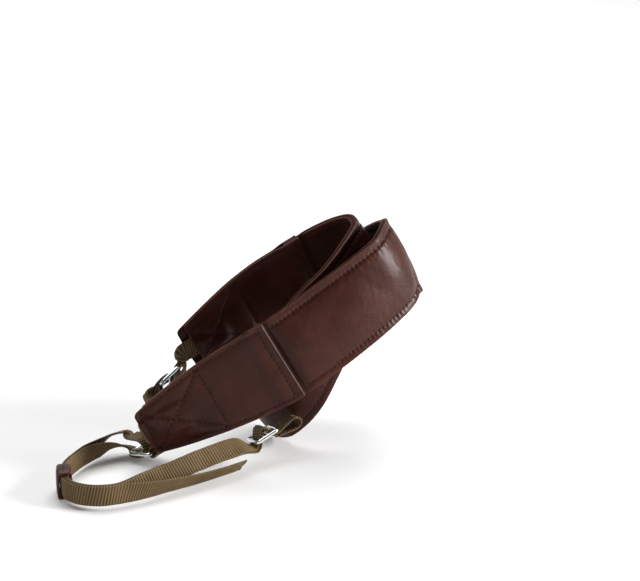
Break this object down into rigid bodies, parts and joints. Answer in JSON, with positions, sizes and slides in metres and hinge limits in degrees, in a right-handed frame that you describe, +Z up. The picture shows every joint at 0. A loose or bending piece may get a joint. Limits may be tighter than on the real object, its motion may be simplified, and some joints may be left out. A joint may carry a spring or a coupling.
{
  "type": "camera neck strap",
  "caption": "Padded leather camera neck strap, loosely coiled, with stitched end tabs, wire sliders, leather keepers and ribbed webbing tapes.",
  "frame": {"origin": "the point of the lining's inner face where the front run of the coiled band rests on what carries it", "axes": "+Z up, +Y away from the side that the strap is seen from, +X to the right along the front run; the strap is widest along X and lowest along Z"},
  "size_m": [0.1839, 0.1505, 0.1205],
  "materials": {
    "cover_leather": "semi-gloss",
    "lining_leather": "matt",
    "padding": "matt",
    "webbing": "ribbed",
    "wire": "polished"
  },
  "bodies": {
    "root": {"neck_band_cover": "cover_leather", "neck_band_lining": "lining_leather", "neck_band_padding": "padding", "end_tab_a_face": "cover_leather", "end_tab_a_back": "cover_leather", "end_tab_b_face": "cover_leather", "end_tab_b_back": "cover_leather", "keeper_a": "cover_leather", "keeper_b": "cover_leather", "tape_a": "webbing", "tape_b": "webbing", "hanger_a": "webbing", "hanger_b": "webbing", "end_slider_a": "wire", "end_slider_b": "wire", "lug_slider_a": "wire", "lug_slider_b": "wire"}
  },
  "joints": []
}
